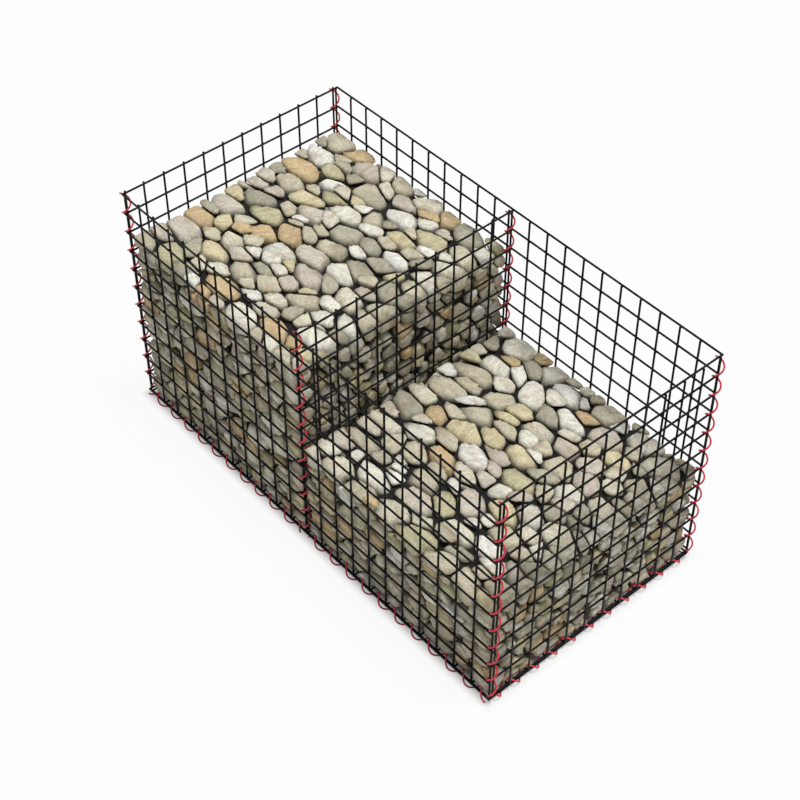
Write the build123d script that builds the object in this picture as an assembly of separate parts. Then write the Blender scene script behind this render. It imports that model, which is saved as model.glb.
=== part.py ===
from build123d import *
import math
import os

# A stone-filled gabion: an open-topped basket of welded wire mesh in two cells, with a diaphragm
# panel between them. Spiral binders lace the panels together along every upright and bottom edge.
# The left cell is packed with stone nearly to the rim, and the right cell to about half its height.

# Basket, from wire line to wire line (mm)
cell_length = 1000.0
width = 1000.0
height = 1000.0

# Mesh squares along, across and up one cell
squares_long = 11
squares_wide = 11
squares_high = 11

# Coated mesh wire, and the room between wires of neighbouring panels
wire = 8.0
panel_gap = 0.3

# Spiral binder: its wire, the room round the wires it binds, and the facets of one turn
spiral_wire = 5.0
spiral_slack = 0.15
turn_sides = 8
section_sides = 3

# Stone: mesh rows that each cell is filled to, and the room beside the panels
left_fill_rows = 9
right_fill_rows = 5
stone_gap = 0.3

# Worked out from the sizes above
length = 2 * cell_length
pitch_x = cell_length / squares_long
pitch_y = width / squares_wide
pitch_z = height / squares_high

# A side panel's edge wire stands this far in from the front and back wire lines
corner_in = wire + panel_gap

# The base lies under the upright panels: lengthwise wires above, crosswise wires below
base_long_z = -(wire + panel_gap)
base_cross_z = base_long_z - wire

# A spiral's wire has a three-sided section whose corners stand a little proud of the round wire
section_radius = 0.6 * spiral_wire
bundle_reach = math.hypot(wire, 1.5 * wire + panel_gap / 2)
spiral_radius = (bundle_reach + spiral_slack + section_radius) / math.cos(math.pi / turn_sides)
spiral_reach = spiral_radius + section_radius
bottom_axis_z = -(wire + panel_gap / 2)
corner_axis = (wire + panel_gap) / 2


def wire_panel(posts, rails):
    """Weld bars at the posts to bars at the rails, which lie one layer further out."""
    low = rails[0] - wire / 2
    high = rails[-1] + wire / 2
    left = posts[0] - wire / 2
    right = posts[-1] + wire / 2
    bars = []
    for x in posts:
        bars.append(Pos(x, (low + high) / 2, 0) * Box(wire, high - low, wire))
    for y in rails:
        bars.append(Pos((left + right) / 2, y, wire) * Box(right - left, wire, wire))
    return bars[0].fuse(*bars[1:])


def upright_panels(rails):
    """The five upright panels, with level wires at the heights given."""
    long_panel = wire_panel(posts_long, rails)
    side_panel = wire_panel(posts_between, rails)
    return {
        "front_panel": place(long_panel, (0, 0, 0), east, south),
        "back_panel": place(long_panel, (length, width, 0), west, north),
        "left_end_panel": place(side_panel, (-wire, 0, 0), north, east),
        "diaphragm_panel": place(side_panel, (cell_length - wire, 0, 0), north, east),
        "right_end_panel": place(side_panel, (length + wire, width, 0), south, west),
    }


def spiral(pitch, first, last, section):
    """One binder, a turn to each mesh square, from facet first to facet last."""
    points = []
    for i in range(first, last + 1):
        turn = 2 * math.pi * i / turn_sides
        points.append((spiral_radius * math.cos(turn), spiral_radius * math.sin(turn),
                       pitch * i / turn_sides))
    path = Polyline(*points)
    start = Plane(origin=path @ 0, z_dir=path % 0)
    return sweep(start * section, path, transition=Transition.RIGHT)


def place(shape, origin, x_dir, z_dir, angle=0):
    """Stand a shape that was drawn flat or upright at the origin where it belongs."""
    return Plane(origin=origin, x_dir=x_dir, z_dir=z_dir).location * Rot(0, 0, angle) * shape


def stone_fill(x_low, x_high, rows):
    """The packed stone of one cell, cut back along the edges where the binders run."""
    y_low = wire / 2 + stone_gap
    y_high = width - y_low
    z_low = base_long_z + wire / 2
    z_high = rows * pitch_z
    block = Pos((x_low + x_high) / 2, (y_low + y_high) / 2, (z_low + z_high) / 2) * Box(
        x_high - x_low, y_high - y_low, z_high - z_low)
    edges = block.edges().filter_by(Axis.Z) + block.edges().group_by(Axis.Z)[0]
    edge_cut = math.sqrt(2) * (spiral_reach + stone_gap) - wire
    return chamfer(edges, edge_cut)


def climb_angle(x, y, meets):
    """Angle at a level wire of the upright spiral at x and y, which meets that wire at meets.

    It starts well clear of the wire, and is turned three times by the room that is left. What is
    measured is a round wire, because the real one's corners point another way at each mesh square.
    """
    slope = math.atan2(pitch_z, 2 * math.pi * spiral_radius)
    rise = wire / 2 + section_radius / math.cos(slope) + panel_gap
    angle = meets - 360 * rise / pitch_z
    for i in range(3):
        room = place(round_turns, (x, y, 0), east, up, angle).distance_to(one_row) - panel_gap
        angle += 360 * room / pitch_z
    return angle


def facets_to_clear(pitch):
    """Facets that a spiral stops short of an edge where another spiral runs past its end."""
    room = spiral_reach - wire / 2 + section_radius + panel_gap
    return math.ceil(room * turn_sides / pitch)


# Panels
east, north, up = (1, 0, 0), (0, 1, 0), (0, 0, 1)
west, south = (-1, 0, 0), (0, -1, 0)
posts_long = [i * pitch_x for i in range(2 * squares_long + 1)]
posts_wide = [j * pitch_y for j in range(squares_wide + 1)]
rails_high = [k * pitch_z for k in range(squares_high + 1)]
posts_between = [corner_in] + posts_wide[1:-1] + [width - corner_in]

parts = upright_panels(rails_high)
parts["base_panel"] = place(wire_panel(posts_long, posts_wide), (0, 0, base_cross_z), east, up)

# Upright spirals: each one climbs to the right and rests on the level wires that it meets, at a
# panel's end, on a panel's face or beside a panel
at_end = 180 + math.degrees(math.acos(section_radius / spiral_radius))
on_face = 180 + math.degrees(math.asin((wire + panel_gap / 2 - section_radius) / spiral_radius))
beside = 180 + math.degrees(math.acos((wire + section_radius) / spiral_radius))

one_row = Compound(upright_panels([pitch_z]).values())
round_turns = spiral(pitch_z, 0, 2 * turn_sides, Circle(section_radius))
spiral_section = RegularPolygon(section_radius, section_sides)
upright = spiral(pitch_z, facets_to_clear(pitch_z), turn_sides * squares_high, spiral_section)
left_x = -wire / 2
middle_x = cell_length - wire / 2
right_x = length + wire / 2
uprights = {
    "spiral_front_left": (left_x, corner_axis, at_end),
    "spiral_front_middle": (middle_x, corner_axis, on_face),
    "spiral_front_right": (right_x, corner_axis, on_face),
    "spiral_back_left": (left_x, width - corner_axis, at_end),
    "spiral_back_middle": (middle_x, width - corner_axis, at_end),
    "spiral_back_right": (right_x, width - corner_axis, beside),
}
for name, (x, y, meets) in uprights.items():
    parts[name] = place(upright, (x, y, 0), east, up, climb_angle(x, y, meets))

# Bottom spirals along the front and back, turned so that each crosswise wire is passed outside
outer_facets = turn_sides * squares_long
from_corner = spiral(pitch_x, 0, outer_facets - 1, spiral_section)
to_corner = spiral(pitch_x, 1, outer_facets, spiral_section)
front_turn = 225
back_turn = 315
front_y = -wire / 2
back_y = width + wire / 2
parts["spiral_base_front_left"] = place(from_corner, (0, front_y, bottom_axis_z), north, east, front_turn)
parts["spiral_base_front_right"] = place(
    to_corner, (cell_length, front_y, bottom_axis_z), north, east, front_turn)
parts["spiral_base_back_left"] = place(from_corner, (0, back_y, bottom_axis_z), north, east, back_turn)
parts["spiral_base_back_right"] = place(
    to_corner, (cell_length, back_y, bottom_axis_z), north, east, back_turn)

# Bottom spirals across the basket, between the front and back ones
short_of_edge = facets_to_clear(pitch_y)
last_across = turn_sides * squares_wide - short_of_edge
across = spiral(pitch_y, short_of_edge, last_across, spiral_section)
crossings = {
    "spiral_base_left_end": (0, 315),
    "spiral_base_diaphragm": (cell_length, 90),
    "spiral_base_right_end": (length, 225),
}
for name, (x, turn) in crossings.items():
    parts[name] = place(across, (x, 0, bottom_axis_z), east, north, turn)

# Stone, from a panel's inner face to the next panel's
inner = wire / 2 + stone_gap
diaphragm_outer = cell_length - wire * 1.5 - stone_gap
parts["stone_fill_left"] = stone_fill(inner, diaphragm_outer, left_fill_rows)
parts["stone_fill_right"] = stone_fill(cell_length + inner, length - inner, right_fill_rows)

# The origin is under the middle of the basket, level with the lowest turn of the bottom spirals
lowest = min(part.bounding_box().min.Z for part in parts.values())
os.makedirs("parts", exist_ok=True)
for name, part in parts.items():
    export_step(Pos(-length / 2, -width / 2, -lowest) * part, f"parts/{name}.step")
print(f"origin stands {-lowest:.3f} mm below the bottom wires of the upright panels")
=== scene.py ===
# %% [markdown]
# # A stone-filled gabion
# A gabion is a basket of welded wire mesh that arrives flat, is laced together on site and is then
# packed with stone. The CAD part fixes every size, so this lesson loads it first and dresses it:
# round coated wire in place of square bars, smooth spirals, and a packing of separate stones.

# %% Load the frame and keep its box
import math
import bpy
import numpy as np
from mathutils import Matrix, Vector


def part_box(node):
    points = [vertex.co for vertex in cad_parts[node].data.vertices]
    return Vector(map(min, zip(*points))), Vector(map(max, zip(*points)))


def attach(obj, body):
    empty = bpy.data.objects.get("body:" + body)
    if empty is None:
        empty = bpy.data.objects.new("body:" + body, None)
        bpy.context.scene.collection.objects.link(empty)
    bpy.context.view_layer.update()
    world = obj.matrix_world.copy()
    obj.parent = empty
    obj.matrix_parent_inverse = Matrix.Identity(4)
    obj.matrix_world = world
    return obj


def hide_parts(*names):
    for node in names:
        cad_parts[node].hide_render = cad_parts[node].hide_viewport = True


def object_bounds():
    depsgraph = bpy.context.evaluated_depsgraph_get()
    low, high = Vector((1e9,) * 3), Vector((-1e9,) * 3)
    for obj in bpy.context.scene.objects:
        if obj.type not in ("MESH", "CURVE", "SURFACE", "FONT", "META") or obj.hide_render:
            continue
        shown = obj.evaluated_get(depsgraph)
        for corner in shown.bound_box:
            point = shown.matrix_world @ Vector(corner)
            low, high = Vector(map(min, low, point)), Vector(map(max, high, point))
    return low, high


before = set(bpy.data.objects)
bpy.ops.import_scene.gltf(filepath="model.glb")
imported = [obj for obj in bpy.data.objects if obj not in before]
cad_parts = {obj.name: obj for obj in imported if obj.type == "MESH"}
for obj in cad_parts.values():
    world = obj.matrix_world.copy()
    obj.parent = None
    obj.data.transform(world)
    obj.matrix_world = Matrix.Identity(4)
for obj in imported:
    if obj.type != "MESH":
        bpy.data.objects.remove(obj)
cad_low, cad_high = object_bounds()
print("CAD box in metres:", [round(v, 4) for v in (*cad_low, *cad_high)])

# %% [markdown]
# ## Sizes
# Two wires lie one on the other in each panel, so a panel's thickness is twice its wire. The other
# sizes come from the panels' boxes in the same way. They could be typed in, but measured ones keep
# the dressing on the CAD even if the basket is drawn again in another size. All are in metres.

# %% Read the basket's sizes from its panels
front_low, front_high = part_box("front_panel")
end_low, end_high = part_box("left_end_panel")
base_low, base_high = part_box("base_panel")
wire = (front_high.y - front_low.y) / 2
squares_long, squares_wide, squares_high = 22, 11, 11
mesh_left = front_low.x + wire / 2
mesh_front = front_high.y - wire / 2
mesh_bottom = front_low.z + wire / 2
pitch_x = (front_high.x - front_low.x - wire) / squares_long
pitch_y = (base_high.y - base_low.y - wire) / squares_wide
pitch_z = (front_high.z - front_low.z - wire) / squares_high
mesh_middle = mesh_left + squares_long // 2 * pitch_x
mesh_right = mesh_left + squares_long * pitch_x
mesh_back = mesh_front + squares_wide * pitch_y
print(f"wire {wire * 1000:.1f} mm, squares {pitch_x * 1000:.1f} mm")

# %% [markdown]
# ## Colours and nodes
# Paint charts and screens give colours in sRGB, but Blender's shaders add light in linear values.
# One function turns a hex value to linear, and one adds a node with its settings and links, so a
# material reads from top to bottom as a recipe.

# %% One function for colours, one for nodes
# A Mix node has sockets for numbers, vectors and colours. These are the ones for colours.
MIX_FACTOR, MIX_FIRST, MIX_SECOND, MIX_RESULT = 0, 6, 7, 2


def linear(hex_colour):
    """The linear colour, with alpha 1, of an sRGB hex value."""
    parts = [int(hex_colour[i:i + 2], 16) / 255 for i in (1, 3, 5)]
    return [c / 12.92 if c <= 0.04045 else ((c + 0.055) / 1.055) ** 2.4 for c in parts] + [1.0]


def add_node(tree, kind, inputs=None, **settings):
    """Add a node with its settings. An input is a plain value, or another node's output to link."""
    node = tree.nodes.new(kind)
    for name, value in settings.items():
        setattr(node, name, value)
    for name, value in (inputs or {}).items():
        if isinstance(value, bpy.types.NodeSocket):
            tree.links.new(value, node.inputs[name])
        else:
            node.inputs[name].default_value = value
    return node


def new_material(name):
    """A material with an empty node tree, and that tree."""
    material = bpy.data.materials.new(name)
    material.use_nodes = True
    tree = material.node_tree
    tree.nodes.clear()
    return material, tree


def paint_ramp(ramp, stops):
    """Set a colour ramp's stops from pairs of place and hex colour."""
    while len(ramp.elements) < len(stops):
        ramp.elements.new(1.0)
    for element, (place, colour) in zip(ramp.elements, stops):
        element.position = place
        element.color = linear(colour)


print("white in linear values:", linear("#FFFFFF"))

# %% [markdown]
# ## Coated mesh wire
# The mesh is drawn steel wire, galvanised and then coated with black PVC. PVC is a dielectric with
# an IOR near 1.54, and the coat is half-gloss straight from the bath, with a faint orange-peel
# surface and duller, greyer patches where the panels were stacked and dragged. Dust takes most of
# its shine, so its specular level is low. A plain black would do from afar. The patches and ripples
# are noise at their real size, so they also hold close up.

# %% Black PVC coat
scuff_size = 0.030
ripple_size = 0.002
scuff_dulls = 0.22


def coated_wire(name, colour, scuffed, gloss, shine):
    """PVC on steel wire: a smooth coat of roughness gloss, with dull scuffs and fine ripples."""
    material, tree = new_material(name)
    place = add_node(tree, "ShaderNodeTexCoord").outputs["Object"]
    # Scuffs are patches broken up by scratches of a few millimetres
    patches = add_node(tree, "ShaderNodeTexNoise", {
        "Vector": place, "Scale": 1 / scuff_size, "Detail": 5.0, "Roughness": 0.7})
    scuff = add_node(tree, "ShaderNodeMapRange", {
        "Value": patches.outputs["Fac"], "From Min": 0.50, "From Max": 0.72})
    coat = add_node(tree, "ShaderNodeMix", {
        MIX_FACTOR: scuff.outputs[0], MIX_FIRST: linear(colour), MIX_SECOND: linear(scuffed)},
        data_type="RGBA")
    dull = add_node(tree, "ShaderNodeMapRange", {
        "Value": scuff.outputs[0], "To Min": gloss, "To Max": gloss + scuff_dulls})
    ripple = add_node(tree, "ShaderNodeTexNoise", {
        "Vector": place, "Scale": 1 / ripple_size, "Detail": 2.0})
    bump = add_node(tree, "ShaderNodeBump", {
        "Height": ripple.outputs["Fac"], "Strength": 0.25, "Distance": 0.0003})
    shader = add_node(tree, "ShaderNodeBsdfPrincipled", {
        "Base Color": coat.outputs[MIX_RESULT], "Roughness": dull.outputs[0], "IOR": 1.54,
        "Specular IOR Level": shine, "Normal": bump.outputs[0]})
    add_node(tree, "ShaderNodeOutputMaterial", {"Surface": shader.outputs[0]})
    return material


black_pvc = coated_wire("black_pvc_coat", "#040404", "#0B0A09", 0.45, 0.12)
print("made", black_pvc.name)

# %% [markdown]
# ## Coated binder wire
# The spirals are thinner steel wire with a crimson PVC coat, the same finish in another pigment and
# glossier, because nobody stacks them. The same function makes it. The colour shows where each
# panel has been laced.

# %% Crimson PVC coat
crimson_pvc = coated_wire("crimson_pvc_coat", "#DC1E3C", "#B82A42", 0.30, 0.5)
print("made", crimson_pvc.name)

# %% [markdown]
# ## Quarried stone
# The fill is a pale sandy limestone, split by hand along its beds and a little worn at the edges.
# Each stone has its own tone: cream, buff, honey, pinkish or greenish grey. A material for each
# tone would work, but named attributes do it with one: the first gives every stone one random
# number, and the second gives the stone's own turned coordinates, so that beds and stains run a
# different way in each stone and never carry on into the next. A third says how deep in the fill
# each corner lies, and the stone is darkened with that depth as painted shade in the joints.

# %% Pale limestone
STONE_TONES = [
    (0.00, "#E6E0C9"), (0.14, "#DAD2B8"), (0.26, "#F1EDDD"), (0.37, "#D2CAB1"),
    (0.47, "#C2BDA7"), (0.54, "#DCD3C2"), (0.62, "#E0D5AE"), (0.69, "#DDC499"),
    (0.76, "#CDC7A2"), (0.83, "#B6B19D"), (0.88, "#D3C9B9"), (0.94, "#F7F4E9")]
bed_scale = (18.0, 18.0, 85.0)  # one wave in 55 mm along the beds, and in 12 mm across them
stain_size = 0.060
hollow_size = 0.015
grain_size = 0.008  # real grain is about 1 mm, too fine to show from the camera
ledge_share = 0.8  # relief of the split ledges, beside that of the hollows


def limestone():
    """Split limestone: a tone for each stone, with beds, iron stains, grain, painted joint shade,
    relief.
    """
    material, tree = new_material("split_limestone")
    tone = add_node(tree, "ShaderNodeAttribute", attribute_name="stone_tone")
    place = add_node(tree, "ShaderNodeAttribute", attribute_name="stone_place").outputs["Vector"]
    palette = add_node(tree, "ShaderNodeValToRGB", {"Fac": tone.outputs["Fac"]})
    palette.color_ramp.interpolation = "CONSTANT"
    paint_ramp(palette.color_ramp, STONE_TONES)
    # Beds: noise pressed flat in one direction
    beds = add_node(tree, "ShaderNodeMapping", {"Vector": place, "Scale": bed_scale})
    bed_noise = add_node(tree, "ShaderNodeTexNoise", {
        "Vector": beds.outputs[0], "Scale": 1.0, "Detail": 6.0, "Roughness": 0.62})
    bed_tone = add_node(tree, "ShaderNodeMapRange", {
        "Value": bed_noise.outputs["Fac"], "From Min": 0.40, "From Max": 0.60,
        "To Min": 0.82, "To Max": 1.08})
    bedded = add_node(tree, "ShaderNodeVectorMath", {
        0: palette.outputs["Color"], 1: bed_tone.outputs[0]}, operation="MULTIPLY")
    # Ochre stains of iron on part of the stones
    stain_noise = add_node(tree, "ShaderNodeTexNoise", {
        "Vector": place, "Scale": 1 / stain_size, "Detail": 5.0, "Roughness": 0.6})
    stain = add_node(tree, "ShaderNodeMapRange", {
        "Value": stain_noise.outputs["Fac"], "From Min": 0.52, "From Max": 0.68,
        "To Max": 0.38})
    stained = add_node(tree, "ShaderNodeMix", {
        MIX_FACTOR: stain.outputs[0], MIX_FIRST: bedded.outputs[0],
        MIX_SECOND: linear("#A8895A")}, data_type="RGBA")
    # Grain, with darker specks
    grain_noise = add_node(tree, "ShaderNodeTexNoise", {
        "Vector": place, "Scale": 1 / grain_size, "Detail": 5.0, "Roughness": 0.75})
    grain_tone = add_node(tree, "ShaderNodeMapRange", {
        "Value": grain_noise.outputs["Fac"], "From Min": 0.40, "From Max": 0.60,
        "To Min": 0.82, "To Max": 1.10})
    grained = add_node(tree, "ShaderNodeVectorMath", {
        0: stained.outputs[MIX_RESULT], 1: grain_tone.outputs[0]}, operation="MULTIPLY")
    # Painted shade: the sides of a stone darken from 11 mm to 32 mm down in the joints
    depth = add_node(tree, "ShaderNodeAttribute", attribute_name="stone_depth")
    painted_joint_shade = add_node(tree, "ShaderNodeMapRange", {
        "Value": depth.outputs["Fac"], "From Min": 0.011, "From Max": 0.032,
        "To Min": 1.0, "To Max": 0.20})
    joint_shaded = add_node(tree, "ShaderNodeVectorMath", {
        0: grained.outputs[0], 1: painted_joint_shade.outputs[0]}, operation="MULTIPLY")
    # Relief: hollows, and split ledges along the beds
    hollows = add_node(tree, "ShaderNodeTexNoise", {
        "Vector": place, "Scale": 1 / hollow_size, "Detail": 6.0, "Roughness": 0.65})
    ledges = add_node(tree, "ShaderNodeMath", {
        0: bed_noise.outputs["Fac"], 1: ledge_share}, operation="MULTIPLY")
    relief = add_node(tree, "ShaderNodeMath", {
        0: hollows.outputs["Fac"], 1: ledges.outputs[0]}, operation="ADD")
    bump = add_node(tree, "ShaderNodeBump", {
        "Height": relief.outputs[0], "Strength": 0.7, "Distance": 0.004})
    shader = add_node(tree, "ShaderNodeBsdfPrincipled", {
        "Base Color": joint_shaded.outputs[0], "Roughness": 0.9, "IOR": 1.5,
        "Normal": bump.outputs[0]})
    add_node(tree, "ShaderNodeOutputMaterial", {"Surface": shader.outputs[0]})
    return material


split_limestone = limestone()
print("tones of stone:", len(STONE_TONES))

# %% [markdown]
# ## Fines between the stones
# Chips and dust settle in the gaps of a packed gabion, out of the light. They are the same stone,
# but their near-black colour is painted shade, and they show only as the dark of the joints.
# Modelled chips would never be seen as such, so cells of a Voronoi pattern, the size of a chip,
# stand for them.

# %% Fines in painted shade
chip_size = 0.008


def painted_shade_fines():
    """Crushed stone painted near-black as painted shade, each cell of the pattern a chip."""
    material, tree = new_material("painted_shade_fines")
    place = add_node(tree, "ShaderNodeTexCoord").outputs["Object"]
    chips = add_node(tree, "ShaderNodeTexVoronoi", {"Vector": place, "Scale": 1 / chip_size})
    tone = add_node(tree, "ShaderNodeValToRGB", {"Fac": chips.outputs["Distance"]})
    # Painted shade: near-black, as the stones deep in the fill would be in their own shadow
    paint_ramp(tone.color_ramp, [(0.0, "#1F1B16"), (0.9, "#0C0A08")])
    bump = add_node(tree, "ShaderNodeBump", {
        "Height": chips.outputs["Distance"], "Strength": 0.8, "Distance": 0.003})
    shader = add_node(tree, "ShaderNodeBsdfPrincipled", {
        "Base Color": tone.outputs["Color"], "Roughness": 0.95, "Normal": bump.outputs[0]})
    add_node(tree, "ShaderNodeOutputMaterial", {"Surface": shader.outputs[0]})
    return material


shade_fines = painted_shade_fines()
print("made", shade_fines.name)

# %% [markdown]
# ## From shells to pieces
# A panel holds dozens of wires and a stone course holds hundreds of stones. Each one is a small
# closed shell. As separate objects they would load Blender down, so they are worked out with
# numpy, and all shells of a piece are joined in one mesh.

# %% Join shells in one mesh
def join_shells(name, shells, material, replaced):
    """One piece from shells, each a pair of corner places and faces, riding on the part's body."""
    corners, faces, start = [], [], 0
    for places, shell_faces in shells:
        corners.append(places)
        faces.extend([[start + i for i in face] for face in shell_faces])
        start += len(places)
    mesh = bpy.data.meshes.new(name)
    mesh.from_pydata(np.concatenate(corners).tolist(), [], faces)
    mesh.shade_smooth()
    mesh.materials.append(material)
    piece = bpy.data.objects.new(name, mesh)
    bpy.context.scene.collection.objects.link(piece)
    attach(piece, "root")
    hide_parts(*replaced)
    return piece


def triangles(piece):
    """How many triangles a piece's faces make."""
    return sum(len(face.vertices) - 2 for face in piece.data.polygons)


print("nodes to dress:", len(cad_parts))

# %% [markdown]
# ## Round wire
# A wire is a tube along a line. Its ends are sheared and dipped in the coat, so the last rings
# draw in a little. A curve with a round bevel makes such a tube too, but not the drawn-in ends, and
# here each ring is set square to a line that may be straight or a spiral.

# %% A tube along a line
wire_sides = 10
end_draw = 0.45  # the ends draw in over this much of the wire's radius
end_size = 0.72  # and down to this much of it


def tube(line, radius, across):
    """A round wire along the points of a line. No part of the line runs along across."""
    line = np.array(line, float)
    along = np.gradient(line, axis=0)
    along /= np.linalg.norm(along, axis=1)[:, None]
    reach = radius * end_draw
    line = np.concatenate([[line[0]], [line[0] + along[0] * reach], line[1:-1],
                           [line[-1] - along[-1] * reach], [line[-1]]])
    along = np.concatenate([along[:1], along[:1], along[1:-1], along[-1:], along[-1:]])
    radii = np.full(len(line), radius)
    radii[[0, -1]] = radius * end_size
    out = np.cross(across, along)
    out /= np.linalg.norm(out, axis=1)[:, None]
    other = np.cross(along, out)
    turn = np.arange(wire_sides) * 2 * math.pi / wire_sides
    ring = (out[:, None] * np.cos(turn)[None, :, None]
            + other[:, None] * np.sin(turn)[None, :, None])
    places = (line[:, None] + ring * radii[:, None, None]).reshape(-1, 3)
    faces = []
    for k in range(len(line) - 1):
        for j in range(wire_sides):
            a, b = k * wire_sides + j, k * wire_sides + (j + 1) % wire_sides
            faces.append([a, b, b + wire_sides, a + wire_sides])
    last = (len(line) - 1) * wire_sides
    faces.append(list(range(wire_sides))[::-1])
    faces.append([last + j for j in range(wire_sides)])
    return places, faces


sample_wire = tube([[0, 0, 0], [0, 0, 1]], wire / 2, (1, 0, 0))
print("a straight wire has", len(sample_wire[0]), "corners")

# %% [markdown]
# ## Welds
# Each crossing is welded by pressing the wires together while a current runs through them, and
# the coat then pools round the spot. Wires that merely cross look laid on each other. A small
# flattened bead between the two gives that fillet, and catches the light as the real one does.

# %% A bead of coat at a weld
bead_sides, bead_rings = 8, 4
bead_wide, bead_thick = wire * 0.62, wire * 0.42


def bead(centre, flat_axis):
    """A flattened bead round the point where two wires touch."""
    places, faces = [], []
    for k in range(1, bead_rings):
        lift = math.pi * k / bead_rings
        for j in range(bead_sides):
            turn = 2 * math.pi * j / bead_sides
            places.append([math.sin(lift) * math.cos(turn) * bead_wide,
                           math.sin(lift) * math.sin(turn) * bead_wide,
                           math.cos(lift) * bead_thick])
    places = np.roll(np.array(places), flat_axis + 1, axis=1) + centre
    for k in range(bead_rings - 2):
        for j in range(bead_sides):
            a, b = k * bead_sides + j, k * bead_sides + (j + 1) % bead_sides
            faces.append([a, a + bead_sides, b + bead_sides, b])
    faces.append(list(range(bead_sides)))
    faces.append([(bead_rings - 2) * bead_sides + j for j in range(bead_sides)][::-1])
    return places, faces


print(f"a bead is {bead_wide * 2000:.1f} mm wide and {bead_thick * 1000:.1f} mm thick each way")

# %% [markdown]
# ## Mesh panels
# A panel has posts in one layer and rails in the next. An array of one square would repeat it, but
# the end panels' outer posts are set in by a wire. The panel's box in the CAD gives both layers
# and the outer wires, so one function makes all six panels from their boxes: the posts are against
# one face of the box, the rails against the other, and the outer wires half a wire in from its
# edges.

# %% Wires of one panel
def panel_lines(low, high, squares, pitch, start):
    """Places of parallel wires between two edges, on the squares of the basket's mesh."""
    inner = [start + i * pitch for i in range(1, squares)]
    return [low + wire / 2] + inner + [high - wire / 2]


def mesh_panel(node, flat, post_axis, posts, rails, posts_high_side):
    """The round wires and welds of a panel, flat across one axis and with posts along another."""
    low, high = (np.array(corner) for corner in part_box(node))
    rail_axis = 3 - flat - post_axis
    post_layer = high[flat] - wire / 2 if posts_high_side else low[flat] + wire / 2
    rail_layer = low[flat] + wire / 2 if posts_high_side else high[flat] - wire / 2
    across = np.eye(3)[flat]
    shells = []
    for axis, other, layer, places in (
            (post_axis, rail_axis, post_layer, posts), (rail_axis, post_axis, rail_layer, rails)):
        for place in places:
            ends = np.zeros((2, 3))
            ends[:, flat] = layer
            ends[:, other] = place
            ends[:, axis] = low[axis], high[axis]
            shells.append(tube(ends, wire / 2, across))
    for post in posts:
        for rail in rails:
            centre = np.zeros(3)
            centre[flat] = (post_layer + rail_layer) / 2
            centre[rail_axis] = post
            centre[post_axis] = rail
            shells.append(bead(centre, flat))
    return join_shells(node.replace("panel", "mesh"), shells, black_pvc, [node])


x_posts = panel_lines(front_low.x, front_high.x, squares_long, pitch_x, mesh_left)
y_posts = panel_lines(end_low.y, end_high.y, squares_wide, pitch_y, mesh_front)
y_rails = panel_lines(base_low.y, base_high.y, squares_wide, pitch_y, mesh_front)
z_rails = panel_lines(front_low.z, front_high.z, squares_high, pitch_z, mesh_bottom)
print("wires of the front:", len(x_posts), "posts and", len(z_rails), "rails")

# %% Six panels
X, Y, Z = range(3)
panels = [
    mesh_panel("front_panel", Y, Z, x_posts, z_rails, posts_high_side=True),
    mesh_panel("back_panel", Y, Z, x_posts, z_rails, posts_high_side=False),
    mesh_panel("left_end_panel", X, Z, y_posts, z_rails, posts_high_side=False),
    mesh_panel("diaphragm_panel", X, Z, y_posts, z_rails, posts_high_side=False),
    mesh_panel("right_end_panel", X, Z, y_posts, z_rails, posts_high_side=True),
    mesh_panel("base_panel", Z, Y, x_posts, y_rails, posts_high_side=False),
]
for piece in panels:
    print(piece.name, triangles(piece), "triangles")

# %% [markdown]
# ## Spiral binders
# A spiral binder is a long coil of stiff wire that is screwed down a corner, so that each turn
# passes round the edge wires of both panels. One turn here takes one mesh square. The line is
# worked out directly as a helix, which stays exactly round, where a curve through a few points
# would not. The coat makes the wire 6.5 mm thick, and it stays within the reach of the CAD's
# spiral.

# %% One binder
binder_wire = 0.0065
binder_radius = 0.0170
turn_steps = 28


def binder(node, start, axis, zero, pitch, turns, angle):
    """A spiral round an axis from start. The zero direction is where its angle counts from."""
    axis, zero = np.array(axis, float), np.array(zero, float)
    side = np.cross(axis, zero)
    count = int(round((turns[1] - turns[0]) * turn_steps)) + 1
    turn = np.linspace(turns[0], turns[1], count)
    swing = 2 * math.pi * turn + math.radians(angle)
    line = (np.array(start) + axis * (turn * pitch)[:, None]
            + (zero * np.cos(swing)[:, None] + side * np.sin(swing)[:, None]) * binder_radius)
    shell = tube(line, binder_wire / 2, axis)
    return join_shells(node.replace("spiral", "binder"), [shell], crimson_pvc, [node])


print(f"a binder is {2000 * binder_radius + 1000 * binder_wire:.1f} mm across")

# %% [markdown]
# The binders of the six uprights rest on the level wires that they pass, each at its own angle.
# Those of the bottom edges are turned so that they go round every crosswise wire. Where another
# binder passes an edge, the end stops short of it, as the CAD does.

# %% Thirteen binders
panel_gap = 0.0003  # room between wires of neighbouring panels
corner_in = (wire + panel_gap) / 2
below = mesh_bottom - wire - panel_gap / 2
east, north, up = np.eye(3)
axis_x = {"left": mesh_left - wire / 2, "middle": mesh_middle - wire / 2,
          "right": mesh_right + wire / 2}
axis_y = {"front": mesh_front + corner_in, "back": mesh_back - corner_in}
# Angles are in degrees from each spiral's zero direction
rest_angle = {"front_left": 238, "front_middle": 182, "front_right": 182,
              "back_left": 244, "back_middle": 244, "back_right": 215}
# First and last turn, counted from the mesh's edge or the middle
upright_turns = (0.25, 10.98)
from_corner, to_corner = (0.0, 10.875), (0.125, 11.0)
between_turns = (0.25, 10.75)

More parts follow.
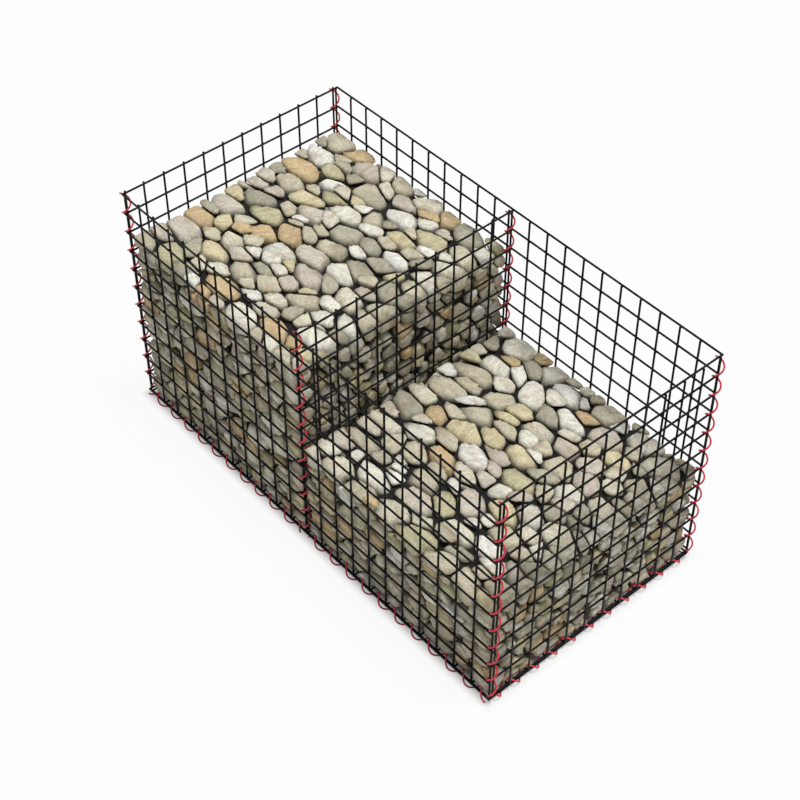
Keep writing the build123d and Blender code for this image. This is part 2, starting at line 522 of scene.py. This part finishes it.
binders = []
for where, angle in rest_angle.items():
    row, column = where.split("_")
    binders.append(binder(f"spiral_{where}", (axis_x[column], axis_y[row], mesh_bottom),
                          up, east, pitch_z, upright_turns, angle))
for side, y, angle in (("front", mesh_front - wire / 2, 225), ("back", mesh_back + wire / 2, 315)):
    for half, x, turns in (("left", mesh_left, from_corner), ("right", mesh_middle, to_corner)):
        binders.append(binder(f"spiral_base_{side}_{half}", (x, y, below),
                              east, north, pitch_x, turns, angle))
for name, x, angle in (("left_end", mesh_left, 315), ("diaphragm", mesh_middle, 90),
                       ("right_end", mesh_right, 225)):
    binders.append(binder(f"spiral_base_{name}", (x, mesh_front, below),
                          north, east, pitch_y, between_turns, angle))
print(len(binders), "binders,", sum(triangles(piece) for piece in binders), "triangles")

# %% [markdown]
# ## How packed stones fit
# Hand-packed stones lie flat and close, with a flat face against the mesh and small ones in the
# gaps. Stones could be modelled one by one and dropped in by a simulation, but that leaves wide
# gaps and takes long. So the points for them are thrown at random, the largest first, and one is
# kept only where it has room. A step counts for less along a stone than across it, and each stone
# is turned a little, so the stones are long and lie roughly along the wall. The space nearest to
# each point, counted from its size, is then a block with flat sides that fits its neighbours. Each
# stone is such a block, drawn in by half a joint, chipped and worn, with its outer face laid
# against the mesh or level with the top of the fill.

# %% Throw one point for each stone
stone_size = np.array([0.174, 0.084, 0.076])  # long, wide and high
largest, smallest, throws = 1.15, 0.38, 12000  # sizes as shares of stone_size
outer_share = 0.75  # of the throws: the rest are for the second layer, behind the gaps
outer_layer, second_layer = 0.5, 1.6  # depth of each layer, in stone sizes
layer_spread = (0.8, 1.2)
edge_room = 0.40  # stone sizes that a point keeps from every side of the fill
turn_spread = 0.38  # usual turn of a stone about the upright, in radians
closeness = 0.42  # least steps between two points, as a share of their two sizes together


def step_count(turn):
    """The matrix that counts a step in lengths of a stone turned by an angle about the upright."""
    turned = np.array([[math.cos(turn), -math.sin(turn), 0],
                       [math.sin(turn), math.cos(turn), 0],
                       [0, 0, 1]])
    return turned @ np.diag(stone_size ** -2) @ turned.T


def steps_between(points, counts, spot, count):
    """The vectors from a spot to the points, as they count, and the distances so counted."""
    gaps = points - spot
    shared = (counts + count) / 2
    pulls = np.einsum("nij,nj->ni", shared, gaps)
    return pulls, np.sqrt(np.maximum((pulls * gaps).sum(axis=1), 0))


def scatter(low, high, chance):
    """Points, sizes and step counts of stones in the outer two layers of a fill."""
    points, sizes, counts = np.empty((0, 3)), np.empty(0), np.empty((0, 3, 3))
    for size in np.geomspace(largest, smallest, throws):
        spot = chance.uniform(low, high)
        side = chance.integers(3)
        in_outer = chance.uniform() < outer_share
        layer = stone_size[side] * size * (outer_layer if in_outer else second_layer)
        layer *= chance.uniform(*layer_spread)
        spot[side] = low[side] + layer if chance.uniform() < 0.5 else high[side] - layer
        edge = stone_size * size * edge_room
        spot = np.clip(spot, low + edge, high - edge)
        count = step_count(chance.normal(0, turn_spread))
        apart = steps_between(points, counts, spot, count)[1]
        if (apart > closeness * (sizes + size)).all():
            points = np.vstack([points, spot])
            sizes = np.append(sizes, size)
            counts = np.concatenate([counts, [count]])
    return points, sizes, counts


print("a middling stone before it is chipped, in mm:", np.round(stone_size * 1000))

# %% [markdown]
# A stone's surface is found along straight lines from its middle. On each line every flat side
# gives a distance, and a high power mean of them follows the nearest side and rounds the corner
# where two sides meet: a power of 8 gives a worn cobble, and 80 a freshly split block. A few more
# planes knock off corners, as the quarry's crusher does. Cutting a cube with Blender's own tools
# gives sharper corners, but takes far longer for so many stones.

# %% Directions from the middle of a stone
def cube_directions(count):
    """Unit directions through a grid on the faces of a cube, and the quads between them."""
    found, directions, quads = {}, [], []
    grid = np.tan(np.linspace(-math.pi / 4, math.pi / 4, count + 1))
    for axis in range(3):
        for sign in (-1, 1):
            index = np.zeros((count + 1, count + 1), int)
            for a in range(count + 1):
                for b in range(count + 1):
                    spot = np.roll([sign, grid[a], grid[b]], axis)
                    key = tuple(np.round(spot, 6))
                    if key not in found:
                        found[key] = len(directions)
                        directions.append(spot / np.linalg.norm(spot))
                    index[a, b] = found[key]
            for a in range(count):
                for b in range(count):
                    quad = [index[a, b], index[a + 1, b], index[a + 1, b + 1], index[a, b + 1]]
                    quads.append([int(i) for i in (quad if sign > 0 else quad[::-1])])
    return np.array(directions), quads


stone_cells = 6  # along each edge of the cube
directions, stone_quads = cube_directions(stone_cells)
print("a stone has", len(directions), "corners and", 2 * len(stone_quads), "triangles")

# %% Surface of one stone
# Roundness of the block that gives the middle, of the one that is chipped, and of the stone
middle_power, chip_power, edge_powers = 8, 12, (36, 80)
middle_rounds, middle_step = 4, 0.8  # the middle is found step by step, as the mean of the block
chip_count, chip_depths = 6, (0.84, 0.98)  # where the chips cut, as shares of the reach
least_room = 0.002  # from a stone's middle to each side
thinnest = 0.018  # a stone that is thinner than this is left out
wear = 0.02  # share of its reach that a stone has lost all round
lump_waves = ((0.09, 0.010), (0.05, 0.010), (0.025, 0.008))  # length, and share of the reach


def surface(middle, normals, offsets, power):
    """Distance along each direction from the middle to the rounded sides of a stone."""
    room = np.maximum(offsets - normals @ middle, least_room)
    share = np.maximum(directions @ normals.T, 0) / room
    return (share ** power).sum(axis=1) ** (-1 / power)


def stone_shape(seed, normals, offsets, chance):
    """Middle and corners of one chipped stone inside flat sides, or None where it is too thin."""
    middle = seed
    for _ in range(middle_rounds):
        reach = surface(middle, normals, offsets, middle_power)
        weight = reach ** 2
        pull = (directions * (reach * weight)[:, None]).sum(0) / weight.sum()
        middle = middle + pull * middle_step
    reach = surface(middle, normals, offsets, chip_power)
    chips = chance.normal(size=(chip_count, 3))
    chips /= np.linalg.norm(chips, axis=1)[:, None]
    furthest = (directions * reach[:, None] @ chips.T).max(axis=0)
    chip_room = chips @ middle + furthest * chance.uniform(*chip_depths, chip_count)
    reach = surface(middle, np.concatenate([normals, chips]),
                    np.concatenate([offsets, chip_room]), chance.uniform(*edge_powers))
    spread = directions * reach[:, None]
    if np.ptp(spread, axis=0).min() < thinnest:
        return None
    lumps = np.zeros(len(directions))
    for length, depth in lump_waves:
        wave = chance.normal(size=3)
        wave *= 2 * math.pi / length / np.linalg.norm(wave)
        lumps += depth * np.sin(spread @ wave + chance.uniform(0, 2 * math.pi))
    return middle, spread * (1 - wear + lumps)[:, None]


# The six sides of a box, as normals that point out of it
wall_normals = np.concatenate([-np.eye(3), np.eye(3)])
sample_stone = stone_shape(np.zeros(3), wall_normals, np.full(6, 0.05), np.random.default_rng(1))
print("a 100 mm cube makes a stone of", np.round(np.ptp(sample_stone[1], axis=0) * 1000), "mm")

# %% [markdown]
# ## Room for the binders
# Where a binder runs through the fill, the mason leaves the stones back from the edge wires. The
# fill in the CAD has its edges cut for that, and here the corners of stones are pushed out of the
# way, which keeps each stone whole.

# %% Lines that the binders turn round
# Each line by its places on the two axes that it doesn't run along
binder_lines = [{X: x, Y: y} for x in axis_x.values() for y in axis_y.values()]
binder_lines += [{Y: y, Z: below} for y in (mesh_front - wire / 2, mesh_back + wire / 2)]
binder_lines += [{X: x, Z: below} for x in (mesh_left, mesh_middle, mesh_right)]
binder_room = 0.011  # from each line to the stones


def clear_binders(corners):
    """Push corners of stones back from the lines that the binders turn round."""
    for centre in binder_lines:
        axes = sorted(centre)
        away = corners[:, axes] - np.array([centre[axis] for axis in axes])
        distance = np.linalg.norm(away, axis=1)
        inside = distance < binder_room
        corners[np.ix_(inside, axes)] += (
            away[inside] * (binder_room / distance[inside] - 1)[:, None])
    return corners


print("lines to keep clear of:", len(binder_lines))

# %% [markdown]
# ## Packing a cell
# Only the stones that can be seen are made: those whose block reaches the outside of the fill.
# The sides of a block are the planes half way to its neighbours, and the six outer planes of the
# CAD fill. Each outer plane is tipped a few degrees for each stone, because no two stones lie
# quite flush. The stones of a cell are joined in courses, so that no piece grows too large.

# %% Pack one cell
joint = 0.0065  # between two neighbours
outer_reach = 1.4  # a point further in than this, in stone sizes, can't make a stone that shows
seen_depth = 0.025  # a stone that stays deeper than this is left out
neighbours = 32
tip = 0.05  # usual lean of an outer side, in radians
wall_room = 0.006  # least room from a point to an outer side
sink_depths = [0.006, 0.006, 0.006, 0.006, 0.006, 0.014]  # at the six sides: the top is roughest


def pack_cell(node, courses, seed_number):
    """The visible stones of one fill, joined in a few courses from the bottom to the top."""
    low, high = (np.array(corner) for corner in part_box(node))
    chance = np.random.default_rng(seed_number)
    seeds, sizes, counts = scatter(low, high, chance)
    wall_offsets = np.concatenate([-low, high])
    packed = [[] for _ in range(courses)]
    for number, seed in enumerate(seeds):
        if (np.minimum(seed - low, high - seed) / stone_size).min() > outer_reach:
            continue
        pulls, apart = steps_between(seeds, counts, seed, counts[number])
        near = np.argsort(apart)[1:neighbours + 1]
        # Half way to each neighbour, and further for the larger stone of the two
        half = apart[near] ** 2 / 2 + (sizes[number] ** 2 - sizes[near] ** 2) / 8
        scale = np.linalg.norm(pulls[near], axis=1)
        normals = pulls[near] / scale[:, None]
        offsets = normals @ seed + half / scale - joint / 2
        tipped = wall_normals + chance.normal(size=wall_normals.shape) * tip
        tipped /= np.linalg.norm(tipped, axis=1)[:, None]
        room = np.maximum(wall_offsets - wall_normals @ seed, wall_room)
        sunk = chance.uniform(0.0, 1.0, len(room)) * sink_depths
        limits = tipped @ seed + room - sunk
        stone = stone_shape(seed, np.concatenate([normals, tipped]),
                            np.concatenate([offsets, limits]), chance)
        if stone is None:
            continue
        middle, spread = stone
        corners = clear_binders(np.clip(middle + spread, low, high))
        depth = np.minimum(corners - low, high - corners).min(axis=1)
        if depth.min() > seen_depth:
            continue
        course = min(courses - 1, int((middle[2] - low[2]) / (high[2] - low[2]) * courses))
        tone = np.full(len(corners), chance.uniform(0, 1))
        # The stone's own coordinates: turned at random, and shifted to a part of the noise
        turn, _ = np.linalg.qr(chance.normal(size=(3, 3)))
        place = spread @ turn + chance.uniform(-5, 5, 3)
        packed[course].append((corners, tone, depth, place))
    for course, stones in enumerate(packed, 1):
        corners, tones, depths, places = zip(*stones)
        piece = join_shells(node.replace("fill", "course") + f"_{course}",
                            [(shell, stone_quads) for shell in corners],
                            split_limestone, [node])
        for attribute, kind, field, values in (
                ("stone_tone", "FLOAT", "value", tones),
                ("stone_depth", "FLOAT", "value", depths),
                ("stone_place", "FLOAT_VECTOR", "vector", places)):
            layer = piece.data.attributes.new(attribute, kind, "POINT")
            layer.data.foreach_set(field, np.concatenate(values).astype(np.float32).ravel())
        print(piece.name, len(stones), "stones,", triangles(piece), "triangles")


print(f"joints of {joint * 1000:.1f} mm, and at most {neighbours} neighbours for a stone")

# %% Both cells
pack_cell("stone_fill_left", courses=4, seed_number=7)
pack_cell("stone_fill_right", courses=3, seed_number=19)

# %% [markdown]
# ## The heart of the fill
# Behind the outer stones the fill goes on, but nobody sees it. More stones would only cost time,
# so a lumpy core of chips and fines stands in for them. It blocks the light that would come
# through the joints, and its near-black colour is painted shade for the stones behind, so that the
# joints read as dark as they do in a real wall.

# %% Packed core
core_inset = 0.034
core_drop = 0.8  # share of the inset that the core is let down again, to shut out light from below
core_cells = 24
# Two waves that cross make the lumps, each one given in radians for a metre along each axis
core_waves = np.array([71.0, 37.0, 53.0]), np.array([-29.0, 83.0, 61.0])
core_lump = 0.003


def packed_core(node):
    """A closed lumpy block inside the outer stones of a fill."""
    low, high = (np.array(corner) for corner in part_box(node))
    low, high = low + core_inset, high - core_inset
    low[2] -= core_inset * core_drop
    core_directions, quads = cube_directions(core_cells)
    cube = core_directions / np.abs(core_directions).max(axis=1)[:, None]
    flat = np.arctan(cube) * 4 / math.pi
    corners = (low + high) / 2 + flat * (high - low) / 2
    wave = np.sin(corners @ core_waves[0]) + np.sin(corners @ core_waves[1])
    corners = corners + core_directions * wave[:, None] * core_lump
    return join_shells(node.replace("stone_fill", "packed_core"), [(corners, quads)], shade_fines,
                       [node])


for node in ("stone_fill_left", "stone_fill_right"):
    core = packed_core(node)
    print(core.name, triangles(core), "triangles")

# %% [markdown]
# ## Floor and light
# The basket stands on a plain white floor, as in a studio. A stronger lamp would turn the floor
# white but bleach the stones with it. So the floor is matt where the basket's shadow falls and
# plain white outside, for rays that come straight from the camera or by way of a mirror or glass,
# and the world behind is white for the same rays. What lights the basket is dimmer: an even fill,
# and a soft, high key from the right and the back, as on a bright overcast day. The tops are
# bright, the right end is a little lower, and the long front is in its own soft shade.

# %% White floor that keeps the shadow
white_from, white_to = -0.060, 0.020  # across the basket's edge, less than 0 being under it
white_share = 0.94  # the rest lets a faint shadow through
floor_reach = 30
floor_drop = 0.0005  # below the binders, so that nothing lies in one plane with the floor


def straight_rays(tree):
    """1 for rays from the camera, a mirror or glass, and 0 for rays that light things."""
    rays = add_node(tree, "ShaderNodeLightPath")
    mirrored = add_node(tree, "ShaderNodeMath", {
        0: rays.outputs["Is Camera Ray"], 1: rays.outputs["Is Glossy Ray"]}, operation="MAXIMUM")
    either = add_node(tree, "ShaderNodeMath", {
        0: mirrored.outputs[0], 1: rays.outputs["Is Transmission Ray"]}, operation="MAXIMUM")
    return either.outputs[0]


def white_floor():
    """A matt pale floor, seen as nearly plain white outside the basket."""
    material, tree = new_material("white_floor")
    place = add_node(tree, "ShaderNodeNewGeometry").outputs["Position"]
    folded = add_node(tree, "ShaderNodeVectorMath", {0: place}, operation="ABSOLUTE")
    beyond = add_node(tree, "ShaderNodeVectorMath", {
        0: folded.outputs[0], 1: (cad_high.x, cad_high.y, 0)}, operation="SUBTRACT")
    parts = add_node(tree, "ShaderNodeSeparateXYZ", {0: beyond.outputs[0]})
    outside = add_node(tree, "ShaderNodeMath", {
        0: parts.outputs[0], 1: parts.outputs[1]}, operation="MAXIMUM")
    white = add_node(tree, "ShaderNodeMapRange", {
        "Value": outside.outputs[0], "From Min": white_from, "From Max": white_to,
        "To Max": white_share}, interpolation_type="SMOOTHSTEP")
    seen = add_node(tree, "ShaderNodeMath", {
        0: straight_rays(tree), 1: white.outputs[0]}, operation="MULTIPLY")
    matt = add_node(tree, "ShaderNodeBsdfDiffuse", {"Color": linear("#E8E8E6")})
    plain = add_node(tree, "ShaderNodeEmission", {"Color": linear("#FFFFFF"), "Strength": 1.0})
    mixed = add_node(tree, "ShaderNodeMixShader", {
        0: seen.outputs[0], 1: matt.outputs[0], 2: plain.outputs[0]})
    add_node(tree, "ShaderNodeOutputMaterial", {"Surface": mixed.outputs[0]})
    return material


floor_mesh = bpy.data.meshes.new("floor")
floor_mesh.from_pydata([(x * floor_reach, y * floor_reach, 0)
                        for x, y in ((-1, -1), (1, -1), (1, 1), (-1, 1))], [], [(0, 1, 2, 3)])
floor_mesh.materials.append(white_floor())
floor = bpy.data.objects.new("floor", floor_mesh)
bpy.context.scene.collection.objects.link(floor)
floor.location.z = cad_low.z - floor_drop
print("floor at", round(floor.location.z, 4))

# %% World and key lamp
fill_light = 0.315
key_azimuth, key_height = 130, 76  # degrees: round from the front by the right, and up
key_softness, key_power = 12, 2.3

world = bpy.data.worlds.new("studio")
bpy.context.scene.world = world
world.use_nodes = True
sky = world.node_tree
sky.nodes.clear()
strength = add_node(sky, "ShaderNodeMapRange", {
    "Value": straight_rays(sky), "To Min": fill_light, "To Max": 1.0})
glow = add_node(sky, "ShaderNodeBackground", {
    "Color": linear("#FFFFFF"), "Strength": strength.outputs[0]})
add_node(sky, "ShaderNodeOutputWorld", {"Surface": glow.outputs[0]})

key_lamp = bpy.data.lights.new("key", "SUN")
key_lamp.angle = math.radians(key_softness)
key_lamp.energy = key_power
key = bpy.data.objects.new("key", key_lamp)
key.rotation_euler = (math.radians(90 - key_height), 0, math.radians(key_azimuth))
bpy.context.scene.collection.objects.link(key)
print("key light", round(key_lamp.energy, 2), "and fill", fill_light)

# %% [markdown]
# ## Camera
# The camera stands high to the right of the front, with a long lens, and looks down at the
# basket's middle, so that both fills, the diaphragm and two sides show. A wide lens nearer by
# would spread the near corner.

# %% Camera at the photograph's angle
look_down, look_round = 45.26, 49.0
camera_data = bpy.data.cameras.new("camera")
camera_data.lens = 79.7
camera_data.sensor_width = 36
camera = bpy.data.objects.new("camera", camera_data)
camera.location = (3.494, -3.074, 5.088)
camera.rotation_euler = (math.radians(90 - look_down), 0, math.radians(look_round))
bpy.context.scene.collection.objects.link(camera)
bpy.context.scene.camera = camera
bpy.context.scene.view_settings.view_transform = "Standard"
print("lens", round(camera_data.lens, 1), "mm")
